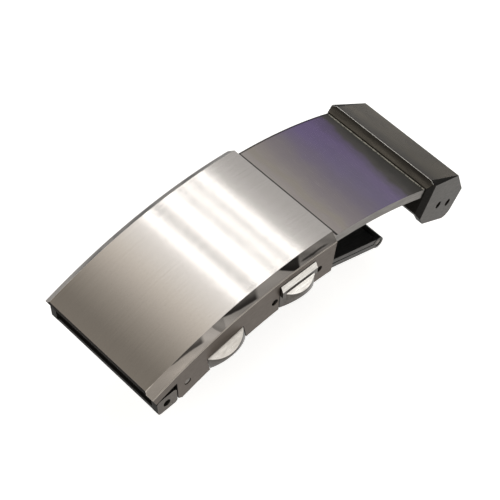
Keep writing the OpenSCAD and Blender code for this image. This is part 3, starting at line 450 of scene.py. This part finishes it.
# Each chooser gives a face a lit or a shaded copy of its piece's steel by the face's direction: the dark copies are
# painted shade, the bright button tops and the link's edge line painted light.
def coverFace(normal, middle):
    inner = abs(normal.y) < faceSplit["coverTurned"] and normal.z < faceSplit["coverUp"]
    return "coverEnd" if normal.x < faceSplit["coverFront"] or inner else "coverFinish"


def linkFace(normal, middle):
    turned, limit = abs(normal.y), faceSplit
    low, high = limit["lineLean"]
    if middle.z > limit["lineAbove"] * mm and low < normal.x < high and turned < limit["lineTurned"]:
        return "linkLine"
    if turned > limit["cheekTurned"]:
        return "blackened" if normal.x < limit["cheekFront"] else "linkSide"
    if normal.x < limit["linkFront"] and middle.z < limit["frontBelow"] * mm:
        return "blackened"
    if normal.z > limit["chamferUp"] and turned > limit["topTurned"]:
        return "blackened"
    if normal.x > limit["topLean"] and normal.z > limit["topUp"] and turned < limit["topTurned"]:
        return "linkTop"
    if normal.z < limit["linkDown"] or normal.x > limit["linkRear"]:
        return "linkSide"
    return "linkDark"


def forkFace(normal, middle):
    outside = abs(normal.y) > faceSplit["earTurned"] and abs(middle.y) > faceSplit["earOutside"] * mm
    return "forkFinish" if outside else "blackened"


def buttonFace(normal, middle):
    return "buttonFace" if normal.z > faceSplit["buttonUp"] else "buttonRim"


def bladeFace(normal, middle):
    return "bladeTop" if normal.z > faceSplit["bladeUp"] else "bladeEdge"


def plateFace(normal, middle):
    return "plateFinish" if normal.z > faceSplit["plateUp"] else "plateEdge"


dressing = {  # node: (its finishes, which finish a face takes, rounding of its edges in mm)
    "cover": (["coverFinish", "coverEnd"], coverFace, 0.06),
    "end_link": (["linkTop", "linkLine", "linkSide", "linkDark", "blackened"], linkFace, 0.1),
    "extension_plate": (["plateFinish", "plateEdge"], plateFace, 0.05),
    "release_button_near": (["buttonFace", "buttonRim"], buttonFace, 0.06),
    "release_button_far": (["buttonFace", "buttonRim"], buttonFace, 0.06),
    "extension_button_near": (["buttonFace", "buttonRim"], buttonFace, 0.06),
    "extension_button_far": (["buttonFace", "buttonRim"], buttonFace, 0.06),
    "end_fork": (["forkFinish", "blackened"], forkFace, 0.05),
    "upper_blade": (["bladeTop", "bladeEdge"], bladeFace, 0.05),
    "lower_blade": (["bladeTop", "bladeEdge"], bladeFace, 0.05),
    "inner_frame": (["frameFinish"], None, 0.03),
    "latch_catch": (["frameFinish"], None, 0.03),
}
edgeLook = {
    "merge": 0.0002,  # mm
    "flat": 0.3, "rounded": 24, "sharp": 32,  # degrees between faces
    "steps": 2,
}
bodyOf = {node: body for body, nodes in frame["record"]["behaviour"]["bodies"].items() for node in nodes}


def camel(name):
    first, *rest = name.split("_")
    return first + "".join(word.capitalize() for word in rest)


def standsFor(piece, node):
    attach(piece, bodyOf[node])
    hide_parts(node)
    return piece


def plainMesh(piece):  # the piece as its modifiers make it, without them
    evaluated = piece.evaluated_get(bpy.context.evaluated_depsgraph_get())
    mesh = bpy.data.meshes.new_from_object(evaluated)
    piece.modifiers.clear()
    piece.data = mesh
    return mesh


def dressedPiece(node, names, faceFinish, edge):
    mesh = frame["nodes"][node].data.copy()
    mesh.name = camel(node)
    work = bmesh.new()
    work.from_mesh(mesh)
    bmesh.ops.remove_doubles(work, verts=work.verts, dist=edgeLook["merge"] * mm)
    bmesh.ops.dissolve_limit(work, angle_limit=math.radians(edgeLook["flat"]), verts=work.verts, edges=work.edges)
    work.to_mesh(mesh)
    work.free()
    mesh.materials.clear()
    for name in names:
        mesh.materials.append(finishes[name])
    piece = bpy.data.objects.new(camel(node), mesh)
    bpy.context.scene.collection.objects.link(piece)
    rounding = piece.modifiers.new("rounding", "BEVEL")
    rounding.width, rounding.segments = edge * mm, edgeLook["steps"]
    rounding.limit_method, rounding.angle_limit = "ANGLE", math.radians(edgeLook["rounded"])
    rounding.use_clamp_overlap = True
    rounding.miter_outer = "MITER_ARC"
    rounded = plainMesh(piece)
    for polygon in rounded.polygons:
        polygon.use_smooth = True
        polygon.material_index = names.index(faceFinish(polygon.normal, polygon.center)) if faceFinish else 0
    rounded.set_sharp_from_angle(angle=math.radians(edgeLook["sharp"]))
    evened = piece.modifiers.new("evened", "WEIGHTED_NORMAL")  # wide faces keep their own shine up to their edges
    evened.keep_sharp, evened.weight = True, 100
    plainMesh(piece)
    return standsFor(piece, node)


for node, (names, faceFinish, edge) in dressing.items():
    dressedPiece(node, names, faceFinish, edge)
print("dressed pieces made")


# Pins, rivets and springs: Geometry Nodes make each from its length and radius

studLook = {
    "rounding": 0.12,  # mm, round edge of each end
    "rings": 26, "sides": 40,
    "sharp": 50,  # degrees between faces
    "pins": ["hinge_pin", "front_cross_pin", "rear_cross_pin", "fold_hinge_pin"],
    "stopPinRadius": 0.6, "rivetRadius": 0.5,  # mm
    "stackX": -4.5764, "stackZ": -35.5678,  # mm, axis that the folding blades are bent round
}
springLook = {"wire": 0.2, "turns": 6, "stepsPerTurn": 28, "wireSides": 12, "press": 0.6}  # wire and press in mm


class Builder:  # one Geometry Nodes tree with named inputs
    def __init__(self, name, inputs):
        self.tree = bpy.data.node_groups.new(name, "GeometryNodeTree")
        face = self.tree.interface
        for label, kind, value in inputs:
            socket = face.new_socket(label, in_out="INPUT", socket_type="NodeSocket" + kind)
            if value is not None:
                socket.default_value = value
        face.new_socket("Geometry", in_out="OUTPUT", socket_type="NodeSocketGeometry")
        self.ends = self.tree.nodes.new("NodeGroupInput").outputs

    def node(self, kind, settings=None, values=None, output=0):
        made = self.tree.nodes.new(kind)
        for key, value in (settings or {}).items():
            setattr(made, key, value)
        for key, value in (values or {}).items():
            if isinstance(value, bpy.types.NodeSocket):
                self.tree.links.new(value, made.inputs[key])
            else:
                made.inputs[key].default_value = value
        return made.outputs[output]

    def maths(self, operation, a, b=0.0):
        return self.node("ShaderNodeMath", {"operation": operation}, {0: a, 1: b})

    def finished(self, geometry, material):
        real = self.node("GeometryNodeRealizeInstances", None, {"Geometry": geometry})
        dressed = self.node("GeometryNodeSetMaterial", None, {"Geometry": real, "Material": material})
        out = self.tree.nodes.new("NodeGroupOutput")
        self.tree.links.new(dressed, out.inputs[0])
        return self.tree


def studTree():
    b = Builder("roundedStuds", [
        ("Length", "Float", 0.018), ("Radius", "Float", 0.00045), ("Rounding", "Float", 0.0001), ("Rings", "Int", 26),
        ("Sides", "Int", 40), ("Count", "Int", 1), ("Spacing", "Float", 0.0), ("Turn", "Vector", None),
        ("Place", "Vector", None), ("Material", "Material", None)])
    half = b.maths("MULTIPLY", b.ends["Length"], 0.5)
    rail = b.node("GeometryNodeCurvePrimitiveLine", None, {"Start": (0, 0, -1), "End": (0, 0, 1)})
    rail = b.node("GeometryNodeResampleCurve", None, {"Curve": rail, "Count": b.ends["Rings"]})
    share = b.node("GeometryNodeSplineParameter")
    swing = b.maths("SINE", b.maths("MULTIPLY", b.maths("SUBTRACT", share, 0.5), math.pi))  # rings crowd near both ends
    place = b.node("ShaderNodeCombineXYZ", None, {"Z": b.maths("MULTIPLY", swing, half)})
    rail = b.node("GeometryNodeSetPosition", None, {"Geometry": rail, "Position": place})
    height = b.node("ShaderNodeSeparateXYZ", None, {"Vector": b.node("GeometryNodeInputPosition")}, 2)
    straight = b.maths("SUBTRACT", half, b.ends["Rounding"])
    past = b.maths("MAXIMUM", b.maths("SUBTRACT", b.maths("ABSOLUTE", height), straight), 0.0)
    square = b.maths("SUBTRACT", b.maths("POWER", b.ends["Rounding"], 2.0), b.maths("POWER", past, 2.0))
    fall = b.maths("SQRT", b.maths("MAXIMUM", square, 0.0))
    width = b.maths("ADD", b.maths("SUBTRACT", b.ends["Radius"], b.ends["Rounding"]), fall)
    ring = b.node("GeometryNodeCurvePrimitiveCircle", None, {"Resolution": b.ends["Sides"], "Radius": 1.0})
    stud = b.node("GeometryNodeCurveToMesh", None, {
        "Curve": rail, "Profile Curve": ring, "Scale": width, "Fill Caps": True})
    stud = b.node("GeometryNodeTransform", None, {"Geometry": stud, "Rotation": b.ends["Turn"]})
    step = b.node("ShaderNodeCombineXYZ", None, {"Y": b.ends["Spacing"]})
    back = b.maths("MULTIPLY", b.maths("MULTIPLY", b.ends["Spacing"], b.maths("SUBTRACT", b.ends["Count"], 1.0)), -0.5)
    start = b.node("ShaderNodeCombineXYZ", None, {"Y": back})
    row = b.node("GeometryNodeMeshLine", None, {"Count": b.ends["Count"], "Start Location": start, "Offset": step})
    studs = b.node("GeometryNodeInstanceOnPoints", None, {"Points": row, "Instance": stud})
    placed = b.node("GeometryNodeTransform", None, {"Geometry": studs, "Translation": b.ends["Place"]})
    return b.finished(placed, b.ends["Material"])


def springTree():
    b = Builder("coilSpring", [
        ("Radius", "Float", 0.0005), ("Wire", "Float", 0.0002), ("Length", "Float", 0.003), ("Turns", "Float", 6.0),
        ("Steps", "Int", 28), ("Sides", "Int", 12), ("Turn", "Vector", None), ("Place", "Vector", None),
        ("Material", "Material", None)])
    coil = b.node("GeometryNodeCurveSpiral", None, {
        "Resolution": b.ends["Steps"], "Rotations": b.ends["Turns"], "Start Radius": b.ends["Radius"],
        "End Radius": b.ends["Radius"], "Height": b.ends["Length"]})
    ring = b.node("GeometryNodeCurvePrimitiveCircle", None, {
        "Resolution": b.ends["Sides"], "Radius": b.maths("MULTIPLY", b.ends["Wire"], 0.5)})
    wire = b.node("GeometryNodeCurveToMesh", None, {"Curve": coil, "Profile Curve": ring, "Fill Caps": True})
    placed = b.node("GeometryNodeTransform", None, {
        "Geometry": wire, "Rotation": b.ends["Turn"], "Translation": b.ends["Place"]})
    return b.finished(placed, b.ends["Material"])


def grown(name, tree, values):  # runs a tree once and keeps its result as a plain mesh
    carrier = bpy.data.objects.new(name, bpy.data.meshes.new(name))
    bpy.context.scene.collection.objects.link(carrier)
    modifier = carrier.modifiers.new("made", "NODES")
    modifier.node_group = tree
    sockets = {item.name: item.identifier for item in tree.interface.items_tree if item.in_out == "INPUT"}
    for label, value in values.items():
        modifier[sockets[label]] = value
    mesh = plainMesh(carrier)
    for polygon in mesh.polygons:
        polygon.use_smooth = True
    mesh.set_sharp_from_angle(angle=math.radians(studLook["sharp"]))
    return carrier


studs, springs = studTree(), springTree()


def studPiece(node, length, radius, turn, count=1, spacing=0.0):
    low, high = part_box(node)
    piece = grown(camel(node), studs, {
        "Length": length, "Radius": radius, "Rounding": studLook["rounding"] * mm, "Rings": studLook["rings"],
        "Sides": studLook["sides"], "Count": count, "Spacing": spacing, "Turn": turn, "Place": (low + high) / 2,
        "Material": finishes["pinDark" if "cross" in node else "pinFinish"]})
    return standsFor(piece, node)


for node in studLook["pins"]:
    low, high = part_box(node)
    studPiece(node, high.y - low.y, (high.x - low.x) / 2, (math.pi / 2, 0, 0))

for node, radius, axisX, axisZ in (
        ("stop_pins", studLook["stopPinRadius"], arcShape["axisX"], arcShape["axisZ"]),
        ("fork_rivets", studLook["rivetRadius"], studLook["stackX"], studLook["stackZ"])):
    low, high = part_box(node)
    middle = (low + high) / 2
    tilt = math.atan2(middle.x - axisX * mm, middle.z - axisZ * mm)
    length = (high.z - low.z - 2 * radius * mm * abs(math.sin(tilt))) / math.cos(tilt)
    studPiece(node, length, radius * mm, (0, tilt, 0), 2, high.y - low.y - 2 * radius * mm)
print("pins and rivets grown")

for joint in frame["joints"]:
    for soft in joint.get("deforming_nodes", []):
        node = soft["node"]
        low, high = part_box(node)
        radius = (high.x - low.x) / 2 - springLook["wire"] * mm / 2
        base = Vector(((low.x + high.x) / 2, low.y + springLook["wire"] * mm / 2, (low.z + high.z) / 2))
        piece = grown(camel(node), springs, {
            "Radius": radius, "Wire": springLook["wire"] * mm, "Length": high.y - low.y - springLook["wire"] * mm,
            "Turns": float(springLook["turns"]), "Steps": springLook["stepsPerTurn"], "Sides": springLook["wireSides"],
            "Turn": (-math.pi / 2, 0, 0), "Place": base, "Material": finishes["springFinish"]})
        standsFor(piece, node)
        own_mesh(piece)
print("springs wound")

rivets = frame["nodes"]["catch_rivets"].data  # hidden under the catch, so only their finish changes
rivets.materials.clear()
rivets.materials.append(finishes["pinFinish"])
print("small parts dressed")


# Floor and lights

studio = {
    "floorSize": 4.0,  # m
    "floorDrop": 10.5,  # mm, leaves room under the clasp for its open blades
    "floorColour": (0.93, 0.93, 0.92), "floorGlow": 0.58, "floorRough": 0.9, "floorLevel": 0.1,
    "sky": [  # angle round Y from straight up, towards +X, in degrees, and brightness
        (-90, 0.55), (-50, 0.50), (-26, 0.27), (-18, 0.44), (-8, 0.77), (1, 1.0), (3.6, 1.0), (4.4, 0.80),
        (9, 0.78), (14, 0.64), (24.2, 0.64), (26.5, 0.73), (29, 0.62), (33, 0.50), (38, 0.48), (48, 0.38),
        (60, 0.30), (72, 0.17), (90, 0.11)],
    "skyWarm": (1.0, 0.95, 0.885), "skyPlain": (1.0, 0.985, 0.97), "wall": (0.97, 0.97, 0.965),
    "strips": [  # from and to in degrees, brightness
        (2.7, 4.7, 1.8), (9.4, 13.7, 1.5), (16.5, 18.4, 1.7), (21.1, 24.0, 1.5)],
    "stripDistance": 1.0, "stripLength": 1.6, "stripColour": (1.0, 0.995, 0.985),
    "fill": {
        "direction": (-0.85, -0.45, 0.62), "distance": 1.2, "size": 0.9, "power": 5.0, "colour": (1.0, 0.99, 0.97)},
}


def makeSky(look):
    world = bpy.data.worlds.new("studioSky")
    shader = Shader(world)
    parts = shader.node("SeparateXYZ", None, [shader.node("TexCoord")["Generated"]])
    angle = parts["X"].maths("ARCTAN2", parts["Z"])
    half = math.pi / 2
    place = shader.node("MapRange", None, {"Value": angle, "From Min": -half, "From Max": half})["Result"]
    stops = []
    for degrees, bright in look["sky"]:
        tone = look["skyWarm"] if degrees < 0 else look["skyPlain"]
        stops.append(((degrees + 90) / 180, tuple(bright * part for part in tone)))
    sky = shader.node("Background", None, {"Color": shader.ramp(place, stops, "LINEAR")})["Background"]
    wall = shader.node("Background", None, {"Color": (*look["wall"], 1)})["Background"]
    seen = shader.node("LightPath")["Is Camera Ray"]  # the eye sees a plain backdrop above the floor, in low views
    shader.node("OutputWorld", None, {"Surface": shader.node("MixShader", None, [seen, sky, wall])["Shader"]})
    bpy.context.scene.world = world


def makeLamp(name, towards, distance, width, length, power, colour):
    data = bpy.data.lights.new(name, "AREA")
    data.shape, data.size, data.size_y = "RECTANGLE", width, length
    data.energy, data.color = power, colour
    lamp = bpy.data.objects.new(name, data)
    across = Vector((0, 1, 0)) - towards * towards.y  # the long side runs along Y
    across.normalize()
    turn = Matrix((across.cross(towards), across, towards)).transposed().to_4x4()
    lamp.matrix_world = Matrix.Translation(towards * distance) @ turn
    bpy.context.scene.collection.objects.link(lamp)


def makeStudio(look):
    makeSky(look)
    half = look["floorSize"] / 2
    mesh = bpy.data.meshes.new("floor")
    low = -look["floorDrop"] * mm
    corners = [(-half, -half, low), (half, -half, low), (half, half, low), (-half, half, low)]
    mesh.from_pydata(corners, [], [(0, 1, 2, 3)])
    floor = bpy.data.objects.new("floor", mesh)
    bpy.context.scene.collection.objects.link(floor)
    paper = bpy.data.materials.new("paleFloor")
    paper.use_nodes = True
    shader = paper.node_tree.nodes["Principled BSDF"]
    shader.inputs["Base Color"].default_value = (*look["floorColour"], 1)
    shader.inputs["Roughness"].default_value = look["floorRough"]
    shader.inputs["Specular IOR Level"].default_value = look["floorLevel"]
    shader.inputs["Emission Color"].default_value = (1, 1, 1, 1)
    shader.inputs["Emission Strength"].default_value = look["floorGlow"]
    mesh.materials.append(paper)
    for i, (low, high, bright) in enumerate(look["strips"]):
        middle = math.radians((low + high) / 2)
        width = 2 * look["stripDistance"] * math.tan(math.radians(high - low) / 2)
        power = bright * math.pi * width * look["stripLength"]  # gives that brightness in a reflection
        towards = Vector((math.sin(middle), 0, math.cos(middle)))
        makeLamp(
            f"strip{i + 1}", towards, look["stripDistance"], width, look["stripLength"], power, look["stripColour"])
    fill = look["fill"]
    towards = Vector(fill["direction"]).normalized()
    makeLamp("fill", towards, fill["distance"], fill["size"], fill["size"], fill["power"], fill["colour"])


makeStudio(studio)
bpy.context.scene.view_settings.view_transform = "Standard"
print("studio lit")
